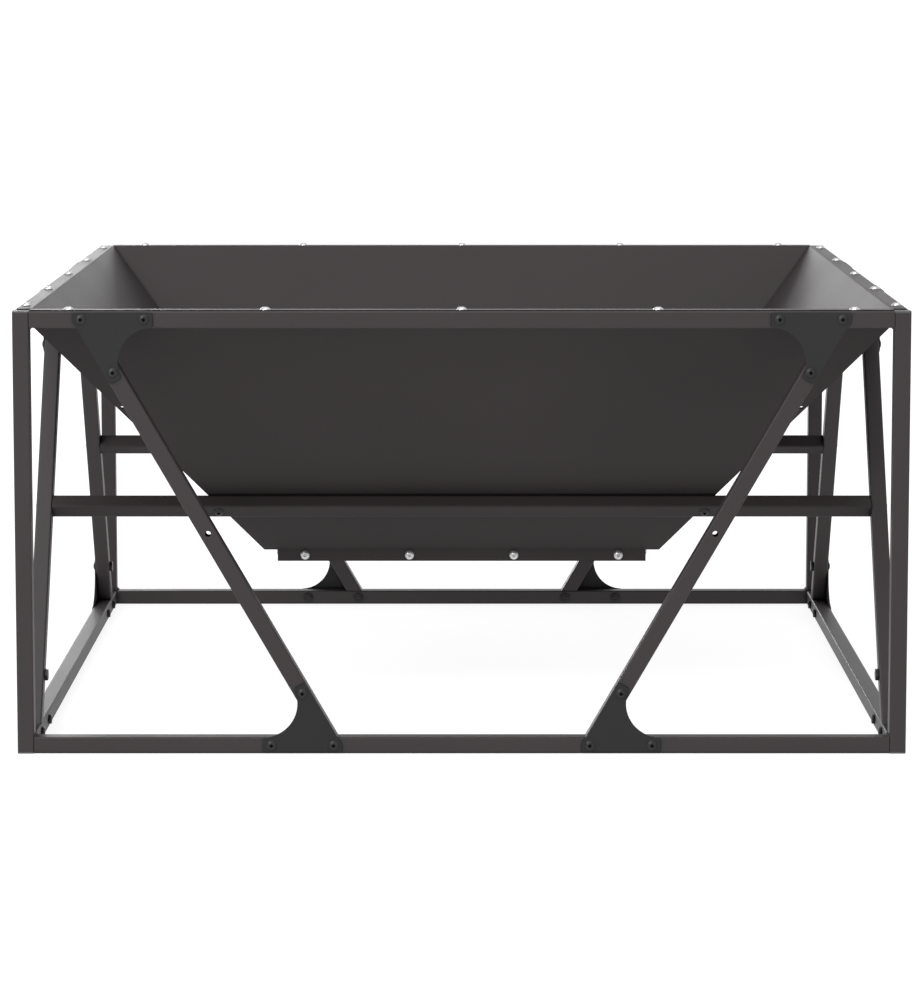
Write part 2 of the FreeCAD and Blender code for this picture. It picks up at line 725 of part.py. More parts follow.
def bent_strip(points, thickness, inside):
    """The outline of a sheet bent to the right at every corner, seen edge on.

    points run along the sheet's right-hand face; the sheet lies to their left. Each bend has
    its inside radius on the right and that radius plus the thickness on the left.
    """
    headings = [(b - a).normalize() for a, b in zip(points, points[1:])]
    lefts = [Vector(-d.y, d.x, 0) for d in headings]
    right_face = []
    left_face = []
    start = points[0]
    for i, corner in enumerate(points[1:-1]):
        turn = math.acos(headings[i].dot(headings[i + 1]))
        setback = inside * math.tan(turn / 2)
        before = corner - headings[i] * setback
        after = corner + headings[i + 1] * setback
        centre = before - lefts[i] * inside
        midway = (lefts[i] + lefts[i + 1]).normalize()
        outer = inside + thickness
        right_face.append(Part.LineSegment(start, before))
        right_face.append(Part.Arc(before, centre + midway * inside, after))
        left_face.append(Part.LineSegment(start + lefts[i] * thickness, centre + lefts[i] * outer))
        left_face.append(
            Part.Arc(
                centre + lefts[i] * outer,
                centre + midway * outer,
                centre + lefts[i + 1] * outer,
            )
        )
        start = after
    end = points[-1]
    right_face.append(Part.LineSegment(start, end))
    left_face.append(Part.LineSegment(start + lefts[-1] * thickness, end + lefts[-1] * thickness))
    caps = [
        Part.LineSegment(end, end + lefts[-1] * thickness),
        Part.LineSegment(points[0] + lefts[0] * thickness, points[0]),
    ]
    edges = [curve.toShape() for curve in right_face + left_face + caps]
    return Part.Face(Part.Wire(Part.__sortEdges__(edges)))


def slab(corners, depth):
    """A prism: corners are (level, height) pairs, swept along Y to both sides."""
    points = [Vector(level, -depth / 2, height) for level, height in corners]
    return Part.Face(Part.makePolygon(points + points[:1])).extrude(Vector(0, depth, 0))


def both_sides(half):
    """A symmetric outline from its right half, which runs from the bottom up."""
    return half + [(-level, height) for level, height in reversed(half)]


def drilled(shape, centre, axis, width):
    """The shape with one round hole of the given width along an axis."""
    reach = 4 * TUBE
    return shape.cut(Part.makeCylinder(width / 2, reach, centre - axis * (reach / 2), axis))


# A panel is modelled as the front one would be seen from the bowl's centre line: level along X,
# outwards along -Y. Rotation about Z then puts it on its own side.
OUTWARD = Vector(0, -1, 0)


def panel_strip():
    """The bent sheet of one side at full width: bottom lip, slope and rim flange."""
    corners = [
        (size("lip_half"), LIP_BOTTOM),
        (size("lip_half"), FOLD_HEIGHT),
        (rim_out, HEIGHT),
        (HALF - size("rim_edge"), HEIGHT),
    ]
    points = [Vector(out, height, 0) for out, height in corners]
    face = bent_strip(points, GAUGE, size("bend_inside"))
    width = size("frame_side")
    strip = face.extrude(Vector(0, 0, width))
    # The edge-on outline was drawn with outwards on X and height on Y.
    strip.Placement = Placement(
        Vector(width / 2, 0, 0), Rotation(OUTWARD, UP, OUTWARD.cross(UP), "ZXY")
    )
    return strip


def rim_and_lip_holes(panel):
    hole = size("bolt_hole")
    for number in range(-2, 3):
        spot = Vector(number * size("rim_pitch"), -RAIL_AT, HEIGHT)
        panel = drilled(panel, spot, UP, hole)
    for place in (-1.5, -0.5, 0.5, 1.5):
        spot = Vector(place * size("lip_pitch"), -size("lip_half"), LIP_BOLT_HEIGHT)
        panel = drilled(panel, spot, OUTWARD, hole)
    return panel


def seam_holes(panel, normal, along):
    """Seat bolt holes and spare holes in both seam flanges, square to a slope's face."""
    inward = normal * -math.sin(SLOPE) + UP * math.cos(SLOPE)
    hole = size("bolt_hole")
    spare_hole = size("seam_hole_width")
    spare_height = HEIGHT - size("seam_hole_down")
    spare_out = slope_out(spare_height)
    seat = normal * size("brace_mid") + UP * MIDDLE
    spare = normal * spare_out + UP * spare_height
    for sign in (-1, 1):
        panel = drilled(panel, seat + along * (sign * size("seat_bolt_out")), inward, hole)
        beside = along * (sign * (spare_out + size("seam_hole_out")))
        panel = drilled(panel, spare + beside, inward, spare_hole)
    return panel


def flat_flange_panel():
    """Front or rear panel: its seam flanges are flat, in the plane of the slope."""
    lip = size("lip_half")
    reach = size("seam_reach")
    clear = INNER - size("fit_gap")
    meets = HEIGHT - (rim_out + reach - clear) / INSET_PER_DROP
    step = FOLD_HEIGHT - GAUGE / 2
    half = [
        (lip, LIP_BOTTOM - 1),
        (lip, step),
        (slope_out(step) + reach, step),
        (clear, meets),
        (clear, HEIGHT + 2 * GAUGE),
    ]
    panel = panel_strip().common(slab(both_sides(half), 2 * HALF))
    panel = seam_holes(panel, OUTWARD, Vector(1, 0, 0))
    return rim_and_lip_holes(panel)


def seam_tab(sign):
    """The flange of a side panel, lying against the inner face of its neighbour's slope.

    The neighbour is on +X or -X, by the sign. The tab reaches outwards, along -Y.
    """
    low = FOLD_HEIGHT + 2 * GAUGE
    high = HEIGHT - TUBE - 2 * GAUGE
    layer = [
        (sign * (slope_out(low) - SHEET_ACROSS), low),
        (sign * (slope_out(high) - SHEET_ACROSS), high),
        (sign * (slope_out(high) - 2 * SHEET_ACROSS), high),
        (sign * (slope_out(low) - 2 * SHEET_ACROSS), low),
    ]
    sheet = slab(layer, 2 * HALF)
    reach = size("seam_reach")
    limit = INNER - size("fit_gap")
    cap_height = HEIGHT - (rim_out + reach - limit) / INSET_PER_DROP
    edges = [
        (slope_out(low) - SHEET_ACROSS, low),
        (slope_out(low) + reach, low),
        (limit, min(cap_height, high)),
        (slope_out(high) - SHEET_ACROSS, high),
    ]
    points = [Vector(-HALF, -out, height) for out, height in edges]
    window = Part.Face(Part.makePolygon(points + points[:1])).extrude(Vector(2 * HALF, 0, 0))
    return sheet.common(window)


def bent_flange_panel():
    """Side panel: it ends on its neighbours' inner faces and its seam flanges are bent back."""
    lip = size("lip_half") - GAUGE
    rim_half = slope_out(HEIGHT) - SHEET_ACROSS
    half = [
        (lip, LIP_BOTTOM - 1),
        (lip, HEIGHT - (rim_half - lip) / INSET_PER_DROP),
        (rim_half, HEIGHT),
        (rim_half, HEIGHT + 2 * GAUGE),
    ]
    panel = panel_strip().common(slab(both_sides(half), 2 * HALF))
    for sign in (-1, 1):
        tab = seam_tab(sign)
        panel = panel.fuse(tab)
    for sign in (-1, 1):
        panel = seam_holes(panel, Vector(sign, 0, 0), Vector(0, 1, 0))
    return rim_and_lip_holes(panel).removeSplitter()


def make_panels():
    makers = {
        "front": (flat_flange_panel, 0),
        "right": (bent_flange_panel, 90),
        "rear": (flat_flange_panel, 180),
        "left": (bent_flange_panel, 270),
    }
    for side, (maker, turn) in makers.items():
        label = f"bowl_panel_{side}"
        node = doc.addObject("Part::Feature", label)
        node.Label = label
        shape = maker()
        shape.rotate(Vector(0, 0, 0), UP, turn)
        node.Shape = shape
        pieces[label] = node


def make_bottom_plate():
    """The ash floor: a square plate with its edges turned down inside the bottom lips."""
    plate = new_body("bottom_plate")
    depth = "(dims.lip_drop - dims.sheet_gauge / 2)"
    outer = "(2 * dims.lip_half - 2 * dims.sheet_gauge - dims.fit_gap)"
    half_now = size("lip_half") - GAUGE
    face = sketch_on(plate, "XY_Plane", "bottom_plate_face")
    add_square(face, outer, "2 * dims.sheet_gauge", 2 * half_now, 2 * GAUGE)
    pad(plate, face, depth)
    inside = sketch_on(plate, "XY_Plane", "bottom_plate_inside")
    width = 2 * (half_now - GAUGE)
    add_square(inside, f"{outer} - 2 * dims.sheet_gauge", "dims.sheet_gauge", width, GAUGE)
    hollow = plate.newObject("PartDesign::Pocket", "bottom_plate_hollow")
    hollow.Profile = inside
    hollow.setExpression("Length", f"{depth} - dims.sheet_gauge")
    hollow.Reversed = True
    bolts = mirrored("dims.lip_pitch / 2", "3 * dims.lip_pitch / 2")
    for role, name in (("XZ_Plane", "across"), ("YZ_Plane", "along")):
        holes = sketch_on(plate, role, f"bottom_plate_holes_{name}")
        add_circles(holes, [(place, "dims.lip_drop / 2") for place in bolts], "dims.bolt_hole")
        cut_through(plate, holes)
    plate.Placement = Placement(UP * LIP_BOTTOM, Rotation())
    pieces["bottom_plate"] = plate


# ------------------------------------------------------------------ the grate

# The grate's bottom edges stand on the slopes, a gap off them.
grate_half = size("grate_side") / 2
GRATE_LOW = HEIGHT - (rim_out - SHEET_ACROSS - size("fit_gap") - grate_half) / INSET_PER_DROP
GRATE_HIGH = GRATE_LOW + size("grate_depth")


def box(label, length, width, height, corner):
    """A Part box whose three sizes are driven by the sheet."""
    block = doc.addObject("Part::Box", label)
    block.setExpression("Length", length)
    block.setExpression("Width", width)
    block.setExpression("Height", height)
    block.Placement = Placement(corner, Rotation())
    return block


def compound(label, members):
    node = doc.addObject("Part::Compound", label)
    node.Label = label
    node.Links = members
    pieces[label] = node


def make_grate_bars():
    rod = size("grate_rod")
    short = grate_half - size("grate_flat")
    reach = int((short - rod) // size("grate_pitch"))
    rods = []
    for number in range(-reach, reach + 1):
        bar = doc.addObject("Part::Cylinder", f"grate_rod_{number + reach + 1}")
        bar.setExpression("Radius", "dims.grate_rod / 2")
        bar.setExpression("Height", "dims.grate_side - 2 * dims.grate_flat")
        start = Vector(number * size("grate_pitch"), short, GRATE_HIGH - rod / 2)
        bar.Placement = Placement(start, Rotation(Vector(1, 0, 0), 90))
        rods.append(bar)
    compound("grate_bars", rods)


def make_grate_frame():
    """Four flats on edge, and two lower ones across them that the rods lie on."""
    flat = size("grate_flat")
    short = grate_half - flat
    side = "dims.grate_side"
    between = "dims.grate_side - 2 * dims.grate_flat"
    flats = [
        box("grate_flat_front", side, "dims.grate_flat", "dims.grate_depth",
            Vector(-grate_half, -grate_half, GRATE_LOW)),
        box("grate_flat_rear", side, "dims.grate_flat", "dims.grate_depth",
            Vector(-grate_half, short, GRATE_LOW)),
        box("grate_flat_left", "dims.grate_flat", between, "dims.grate_depth",
            Vector(-grate_half, -short, GRATE_LOW)),
        box("grate_flat_right", "dims.grate_flat", between, "dims.grate_depth",
            Vector(short, -short, GRATE_LOW)),
    ]
    for number, place in enumerate((-1, 1)):
        corner = Vector(-short, place * short / 3 - flat / 2, GRATE_LOW)
        flats.append(
            box(f"grate_support_{number + 1}", between, "dims.grate_flat",
                "dims.grate_depth - dims.grate_rod", corner)
        )
    compound("grate_frame", flats)


def handle_shape(sign):
    """A loop of rod standing on the inner face of one of the grate's side flats."""
    rod = size("grate_rod")
    bend = size("handle_bend")
    half = size("handle_half")
    level = sign * (grate_half - size("grate_flat") - rod / 2)
    foot = GRATE_LOW + rod / 2
    top = GRATE_HIGH + size("handle_rise") - rod / 2
    slant = bend * (1 - math.sqrt(0.5))

    def at(along, height):
        return Vector(level, along, height)

    path = Part.Wire(
        [
            Part.LineSegment(at(-half, foot), at(-half, top - bend)).toShape(),
            Part.Arc(
                at(-half, top - bend), at(-half + slant, top - slant), at(-half + bend, top)
            ).toShape(),
            Part.LineSegment(at(-half + bend, top), at(half - bend, top)).toShape(),
            Part.Arc(
                at(half - bend, top), at(half - slant, top - slant), at(half, top - bend)
            ).toShape(),
            Part.LineSegment(at(half, top - bend), at(half, foot)).toShape(),
        ]
    )
    ring = Part.Wire([Part.Circle(at(-half, foot), UP, rod / 2).toShape()])
    return path.makePipeShell([ring], True, True)


def make_grate_handles():
    node = doc.addObject("Part::Feature", "grate_handles")
    node.Label = "grate_handles"
    node.Shape = Part.makeCompound([handle_shape(sign) for sign in (-1, 1)])
    pieces["grate_handles"] = node


# ------------------------------------------------------------------ build and write


def check(node):
    """Stops the build if a piece failed or came out broken."""
    if node.Shape.isNull() or not node.Shape.isValid() or not node.Shape.Solids:
        raise RuntimeError(f"{node.Label} has no valid solid")


def main():
    make_posts()
    make_rails()
    make_braces()
    make_crossbars()
    make_gussets()
    make_gusset_fasteners()
    make_corner_joints()
    make_crossbar_ends()
    make_seat_fasteners()
    make_rim_fasteners()
    make_lip_fasteners()
    make_post_caps()
    make_panels()
    make_bottom_plate()
    make_grate_frame()
    make_grate_bars()
    make_grate_handles()
    doc.recompute()
    for item in doc.Objects:
        if "Invalid" in item.State or "Error" in item.State:
            raise RuntimeError(f"{item.Label} did not recompute: {item.State}")
    for node in pieces.values():
        check(node)
    os.makedirs("parts", exist_ok=True)
    for label, node in pieces.items():
        node.Shape.exportStep(f"parts/{label}.step")
        print(label, len(node.Shape.Solids), round(node.Shape.Volume))


main()
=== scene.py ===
import json
import math
import random

import bmesh
import bpy
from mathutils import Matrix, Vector


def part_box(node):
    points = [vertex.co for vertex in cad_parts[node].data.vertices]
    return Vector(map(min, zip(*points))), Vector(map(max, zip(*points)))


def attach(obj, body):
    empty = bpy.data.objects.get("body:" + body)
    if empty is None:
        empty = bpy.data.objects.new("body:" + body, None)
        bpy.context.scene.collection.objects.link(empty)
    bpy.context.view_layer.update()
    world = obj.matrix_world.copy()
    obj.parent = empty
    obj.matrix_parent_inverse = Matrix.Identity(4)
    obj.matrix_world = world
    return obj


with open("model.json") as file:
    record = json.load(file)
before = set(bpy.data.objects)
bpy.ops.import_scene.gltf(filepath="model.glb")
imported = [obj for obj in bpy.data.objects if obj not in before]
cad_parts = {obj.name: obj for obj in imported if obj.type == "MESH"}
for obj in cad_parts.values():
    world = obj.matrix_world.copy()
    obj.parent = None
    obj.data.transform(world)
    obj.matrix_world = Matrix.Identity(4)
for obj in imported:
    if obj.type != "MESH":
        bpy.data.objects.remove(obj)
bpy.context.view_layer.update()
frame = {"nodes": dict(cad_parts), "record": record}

# A square fire pit: powder-coated tube frame, bent-sheet bowl, gussets, bolts and a grate.
# Everything is in metres, front is -Y and the floor is at Z = 0.

MM = 0.001
WHITE = (1, 1, 1, 1)


# ------------------------------------------------------------------ shader maths

# Sockets of a Mix node that works on colours.
MIX_FACTOR, MIX_FIRST, MIX_SECOND, MIX_RESULT = 0, 6, 7, 2

# How far the eased normal leaves the flat one at the start of an edge and at its middle.
EDGE_TURN = (0.02, 0.25)
EDGE_SAMPLES = 4
# How much of the sky is hidden where the painted shade in corners starts and where it is
# darkest.
RECESS_DEPTH = (0.06, 0.42)
RECESS_SAMPLES = 6


class Signal:
    """One shader socket. An expression on signals adds the Math nodes that work it out."""

    def __init__(self, nodes, socket):
        self.nodes = nodes
        self.socket = socket

    def maths(self, operation, *values):
        settings = {"operation": operation}
        return self.nodes.add("ShaderNodeMath", settings, dict(enumerate(values)))

    def __add__(self, other):
        return self.maths("ADD", self, other)

    __radd__ = __add__

    def __mul__(self, other):
        return self.maths("MULTIPLY", self, other)

    __rmul__ = __mul__

    def __sub__(self, other):
        return self.maths("SUBTRACT", self, other)

    def __rsub__(self, other):
        return self.maths("SUBTRACT", other, self)

    def step(self, low, high):
        """0 below low, 1 above high and straight between."""
        return self.nodes.add(
            "ShaderNodeMapRange",
            {"clamp": True},
            {"Value": self, "From Min": low, "From Max": high},
        )


class Nodes:
    """The node tree of a material or of the world, built from nothing."""

    def __init__(self, owner, output_kind):
        owner.use_nodes = True
        self.tree = owner.node_tree
        self.tree.nodes.clear()
        self.output = self.tree.nodes.new(output_kind)

    def add(self, kind, settings, sockets, output=0):
        """A node of a kind: its settings first, then each socket's value or link."""
        node = self.tree.nodes.new(kind)
        for name, value in settings.items():
            setattr(node, name, value)
        for name, value in sockets.items():
            self.feed(node.inputs[name], value)
        return Signal(self, node.outputs[output])

    def feed(self, socket, value):
        if isinstance(value, Signal):
            self.tree.links.new(value.socket, socket)
        else:
            socket.default_value = value

    def show(self, surface):
        self.feed(self.output.inputs["Surface"], surface)


class Finish(Nodes):
    """A material: a Principled shader and the nodes that feed it."""

    def __init__(self, name):
        self.material = bpy.data.materials.new(name)
        super().__init__(self.material, "ShaderNodeOutputMaterial")
        self.shader = self.tree.nodes.new("ShaderNodeBsdfPrincipled")
        self.show(Signal(self, self.shader.outputs["BSDF"]))
        self.place = self.add("ShaderNodeTexCoord", {}, {}, "Object")

    def set(self, **values):
        """Sockets of the shader by name, with _ for a space."""
        for name, value in values.items():
            self.feed(self.shader.inputs[name.replace("_", " ")], value)

    def noise(self, scale, detail, roughness, at=None):
        """Cloudy noise with about scale lumps in a metre."""
        sockets = {
            "Vector": at or self.place,
            "Scale": scale,
            "Detail": detail,
            "Roughness": roughness,
        }
        return self.add("ShaderNodeTexNoise", {}, sockets)

    def cells(self, scale):
        """The distance from scattered points, about scale of them in a metre."""
        sockets = {"Vector": self.place, "Scale": scale}
        return self.add("ShaderNodeTexVoronoi", {}, sockets)

    def tint(self, factor, first, second):
        """A colour between two others."""
        return self.add(
            "ShaderNodeMix",
            {"data_type": "RGBA", "clamp_factor": True},
            {MIX_FACTOR: factor, MIX_FIRST: first, MIX_SECOND: second},
            MIX_RESULT,
        )

    def stretched(self, x, y, z):
        """The place, scaled differently along each axis."""
        return self.add(
            "ShaderNodeVectorMath",
            {"operation": "MULTIPLY"},
            {0: self.place, 1: (x, y, z)},
        )

    def edges(self, width):
        """1 along outside and inside edges, 0 on the flats."""
        rounded = self.eased(width)
        flat = self.add("ShaderNodeNewGeometry", {}, {}, "Normal")
        facing = self.add(
            "ShaderNodeVectorMath", {"operation": "DOT_PRODUCT"}, {0: rounded, 1: flat}, "Value"
        )
        return (1 - facing).step(*EDGE_TURN)

    def painted_recess_shade(self, reach):
        """1 deep in holes and corners, 0 on open faces: the mask for painted shade."""
        settings = {"samples": RECESS_SAMPLES}
        sky = self.add("ShaderNodeAmbientOcclusion", settings, {"Distance": reach}, "AO")
        return (1 - sky).step(*RECESS_DEPTH)

    def eased(self, width):
        """The normal with every sharp edge rounded off."""
        return self.add("ShaderNodeBevel", {"samples": EDGE_SAMPLES}, {"Radius": width})

    def relief(self, *layers, normal=None):
        """A normal raised by (height signal, depth in metres, strength) layers."""
        for height, depth, strength in layers:
            sockets = {"Height": height, "Distance": depth, "Strength": strength}
            if normal:
                sockets["Normal"] = normal
            normal = self.add("ShaderNodeBump", {}, sockets)
        self.set(Normal=normal)


# ------------------------------------------------------------------ finishes


def grey(level, warm=0.0):
    """A near-neutral colour, a little towards red when warm is above 0."""
    return (level * (1 + warm), level * (1 - warm / 2), level * (1 - warm / 4), 1.0)


def powder_coat(name, level, warm, roughness, gloss, eased=None):
    """Satin powder coat: orange peel, a fine grain, faint clouding, dust, painted highlights
    along the edges and painted shade in the corners.

    level is how light it is. eased is the width that sharp edges are rounded to, and is
    left out where the part's own edges are already round.
    """
    coat = Finish(name)
    clouds = coat.noise(5.0, 3.0, 0.6)
    peel_height = coat.noise(620.0, 1.5, 0.45)
    grain = coat.noise(3200.0, 2.0, 0.7)
    dust = coat.noise(90.0, 5.0, 0.75).step(0.62, 0.80)
    nibs = 1 - coat.cells(210.0).step(0.035, 0.075)
    edge = coat.edges(0.5 * MM)
    body = coat.tint(clouds.step(0.30, 0.70), grey(level * 0.93, warm), grey(level * 1.07, warm))
    dusted = coat.tint(dust * 0.10, body, grey(level * 2.6, warm * 0.4))
    # Painted highlight: lighter along the edges. The grain shifts the tone a little as well.
    grain_and_edge_highlight = coat.tint(edge * 0.35 + (grain - 0.5) * 0.10, dusted, grey(level * 1.9, warm))
    coat.set(
        # Painted shade: darker in corners and where parts meet.
        Base_Color=coat.tint(coat.painted_recess_shade(4.0 * MM) * 0.9, grain_and_edge_highlight, grey(level * 0.12)),
        Roughness=(clouds - 0.5) * 0.10 + (grain - 0.5) * 0.08 + dust * 0.08 + roughness,
        Specular_IOR_Level=gloss,
    )
    coat.relief(
        (peel_height, 0.045 * MM, 0.8),
        (grain, 0.012 * MM, 0.5),
        (nibs, 0.03 * MM, 0.35),
        normal=coat.eased(eased) if eased else None,
    )
    return coat.material


def black_oxide():
    """Oiled black screws: dark, faintly glossy, with painted highlights along the edges and
    painted shade in the sockets.
    """
    steel = Finish("black_oxide")
    blotches = steel.noise(260.0, 4.0, 0.65)
    grain = steel.noise(2600.0, 2.0, 0.6)
    edge = steel.edges(0.35 * MM)
    # Painted shade in the sockets and tight corners. The same mask roughens them.
    painted_socket_shade = steel.painted_recess_shade(2.4 * MM)
    skin = steel.tint(blotches.step(0.35, 0.70), grey(0.016), grey(0.026))
    # Painted highlight: paler along the edges.
    edge_highlighted = steel.tint(edge * 0.4, skin, grey(0.06))
    steel.set(
        Base_Color=steel.tint(painted_socket_shade * 0.97, edge_highlighted, grey(0.001)),
        Metallic=edge * 0.2,
        Roughness=blotches * 0.14 + grain * 0.06 + painted_socket_shade * 0.30 + 0.30,
        Specular_IOR_Level=0.22,
    )
    steel.relief((grain, 0.010 * MM, 0.5))
    return steel.material


def zinc_plate():
    """Bright zinc: small brushed marks, a cloudy lustre and painted shade in the sockets and
    corners.
    """
    zinc = Finish("zinc_plate")
    clouds = zinc.noise(320.0, 3.0, 0.6)
    brushed = zinc.noise(1.0, 2.0, 0.6, at=zinc.stretched(900.0, 900.0, 5200.0))
    spots = zinc.noise(1300.0, 3.0, 0.7).step(0.60, 0.75)
    edge = zinc.edges(0.3 * MM)
    metal = zinc.tint(clouds.step(0.3, 0.7), (0.50, 0.50, 0.51, 1), (0.64, 0.64, 0.63, 1))
    spotted = zinc.tint(spots * 0.35 + edge * 0.2, metal, (0.42, 0.42, 0.43, 1))
    zinc.set(
        # Painted shade: darker in the sockets and corners.
        Base_Color=zinc.tint(zinc.painted_recess_shade(1.5 * MM) * 0.6, spotted, grey(0.16)),
        Metallic=0.9,
        Roughness=clouds * 0.14 + brushed * 0.10 + 0.18,
    )
    zinc.relief((brushed, 0.008 * MM, 0.5), (clouds, 0.02 * MM, 0.3))
    return zinc.material


def cap_plastic():
    """Moulded plastic caps with a fine spark-eroded grain and painted highlights along the
    edges.
    """
    plastic = Finish("cap_plastic")
    spark = plastic.noise(1900.0, 3.0, 0.7)
    clouds = plastic.noise(60.0, 2.0, 0.5)
    edge = plastic.edges(0.4 * MM)
    body = plastic.tint(clouds, grey(0.046), grey(0.056))
    plastic.set(
        # Painted highlight: lighter along the edges.
        Base_Color=plastic.tint(edge * 0.5, body, grey(0.16)),
        Roughness=spark * 0.12 + clouds * 0.06 + 0.40,
    )
    plastic.relief((spark, 0.03 * MM, 0.6))
    return plastic.material


def grate_black():
    """Heat-proof matt black over hot-rolled bar: scale pits, faint streaks, greyed edges."""
    black = Finish("grate_black")
    scale_marks = black.noise(150.0, 5.0, 0.7)
    pits = black.noise(800.0, 3.0, 0.7).step(0.55, 0.75)
    edge = black.edges(0.7 * MM)
    streaks = black.noise(1.0, 3.0, 0.6, at=black.stretched(420.0, 35.0, 420.0))
    skin = black.tint(scale_marks.step(0.35, 0.7), grey(0.030, 0.05), grey(0.055, 0.08))
    marked = black.tint(streaks.step(0.60, 0.80) * 0.3, skin, grey(0.10, 0.12))
    black.set(
        Base_Color=black.tint(edge * 0.4, marked, grey(0.13, 0.03)),
        Roughness=scale_marks * 0.22 + pits * 0.10 + 0.45,
        Metallic=edge * 0.2 + 0.1,
    )
    black.relief((scale_marks, 0.12 * MM, 0.5), (pits, 0.06 * MM, 0.5))
    return black.material


MATERIALS = {
    "frame_coat": powder_coat(
        "frame_powder_coat", level=0.0224, warm=0.15, roughness=0.51, gloss=0.34
    ),
    "bowl_coat": powder_coat(
        "bowl_powder_coat", level=0.0256, warm=0.11, roughness=0.45, gloss=0.12, eased=0.45 * MM
    ),
    "gusset_coat": powder_coat(
        "gusset_powder_coat", level=0.0228, warm=0.0, roughness=0.50, gloss=0.10, eased=0.35 * MM
    ),
    "black_bolts": black_oxide(),
    "zinc": zinc_plate(),
    "cap_plastic": cap_plastic(),
    "grate_steel": grate_black(),
}


# ------------------------------------------------------------------ the solid parts

# How wide the sharp edges of small hard parts are broken. Tube, plate and sheet aren't here.
EDGE_BREAK = {
    "black_bolts": 0.20 * MM,
    "zinc": 0.20 * MM,
    "cap_plastic": 0.30 * MM,
    "grate_steel": 0.45 * MM,
}
EDGE_BREAK_STEPS = 2
SHARP_ANGLE = math.radians(32)
JOIN_DISTANCE = 0.002 * MM


def soften(part, width):
    """Breaks a part's sharp edges: joins its faces, rounds the edges, keeps flats flat."""
    weld = part.modifiers.new("joined_faces", "WELD")
    weld.merge_threshold = JOIN_DISTANCE
    bevel = part.modifiers.new("broken_edges", "BEVEL")
    bevel.width = width
    bevel.segments = EDGE_BREAK_STEPS
    bevel.limit_method = "ANGLE"
    bevel.angle_limit = SHARP_ANGLE
    bevel.harden_normals = True
    bevel.use_clamp_overlap = True


def finish_solid_parts():
    for entry in frame["record"]["subparts"]:
        part = frame["nodes"][entry["node"]]
        slot = entry["material_slot"]
        part.data.materials.clear()
        part.data.materials.append(MATERIALS[slot])
        if slot in EDGE_BREAK:
            soften(part, EDGE_BREAK[slot])


# ------------------------------------------------------------------ welds

BEAD_SLICE = 0.22 * MM
BEAD_LEAST_SLICES = 8
BEAD_POINTS = 9
BEAD_RIPPLE = 1.3 * MM
BEAD_ROOT = 0.12 * MM
# Shares of a bead's leg: its lowest size and the ripples' rise, its random spread, how thick
# it is at the middle of its face and how much more at the faces it joins, how far its
# ripples lag, and what its ends keep.
BEAD_LOW, BEAD_RISE = 0.88, 0.16
BEAD_SPREAD = 0.02
BEAD_THROAT, BEAD_TOES = 0.80, 0.20
BEAD_LAG = 0.175
BEAD_END = 0.12
# The power that keeps a bead full until near its ends.
BEAD_FULLNESS = 8

FRAME_SEED = 11
FRAME_BEAD_LEG = 2.0 * MM
FRAME_BEAD_INSET = 1.2 * MM

GRATE_SEED = 29
ROD_COUNT = 13
ROD_BEAD_LEG = 1.8 * MM
# Shares of a rod's thickness: out from its middle, then up from its underside or down from
# its top. The slant is the way that the rod's side faces there.
ROD_BEAD_START = (0.28, 0.10)
ROD_BEAD_END = (0.5, 0.38)
ROD_BEAD_SLANT = (0.8, -0.6)
# The two supports cross at a third of the way out, with a bead under every third rod.
SUPPORT_PLACE = 3
SUPPORT_STRIDE = 3
SUPPORT_BEAD_LEG = 1.6 * MM
SUPPORT_BEAD_HALF = 2.2 * MM


def new_piece(name, mesh, slot, body):
    """A mesh made into a piece that rides on a body and takes a slot's finish."""
    bmesh.ops.recalc_face_normals(mesh, faces=mesh.faces)
    data = bpy.data.meshes.new(name)
    mesh.to_mesh(data)
    mesh.free()
    for face in data.polygons:
        face.use_smooth = True
    piece = bpy.data.objects.new(name, data)
    bpy.context.scene.collection.objects.link(piece)
    data.materials.append(MATERIALS[slot])
    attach(piece, body)


def add_bead(mesh, start, end, faces, leg, chance):
    """A weld bead along a corner, from start to end.

    faces are the directions of the two faces that the bead joins, out of the corner. Its
    front rises and falls with each ripple, and its ends run out.
    """
    first, second = faces
    length = (end - start).length
    way = (end - start) / length
    count = max(BEAD_LEAST_SLICES, int(length / BEAD_SLICE))
    rings = []
    for i in range(count + 1):
        t = i / count
        along = t * length
        taper = math.sqrt(max(0.0, 1 - (2 * t - 1) ** BEAD_FULLNESS))
        runout = min(1.0, taper + BEAD_END)
        wave = abs(math.sin(math.pi * along / BEAD_RIPPLE))
        uneven = chance.uniform(-BEAD_SPREAD, BEAD_SPREAD)
        size = leg * runout * (BEAD_LOW + BEAD_RISE * wave + uneven)
        ring = []
        for j in range(BEAD_POINTS):
            angle = math.pi / 2 * j / (BEAD_POINTS - 1)
            bulge = size * (BEAD_THROAT + BEAD_TOES * abs(math.cos(2 * angle)))
            offset = first * math.cos(angle) * bulge + second * math.sin(angle) * bulge
            lag = way * (BEAD_LAG * leg * math.sin(2 * angle))
            ring.append(mesh.verts.new(start + way * along + offset + lag))
        root = start + way * along - (first + second) * BEAD_ROOT
        ring.append(mesh.verts.new(root))
        rings.append(ring)
    sides = BEAD_POINTS + 1
    for a, b in zip(rings, rings[1:]):
        for j in range(sides):
            k = (j + 1) % sides
            mesh.faces.new((a[j], a[k], b[k], b[j]))
    mesh.faces.new(list(reversed(rings[0])))
    mesh.faces.new(rings[-1])


def box_of(node):
    low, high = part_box(node)
    return Vector(low), Vector(high)


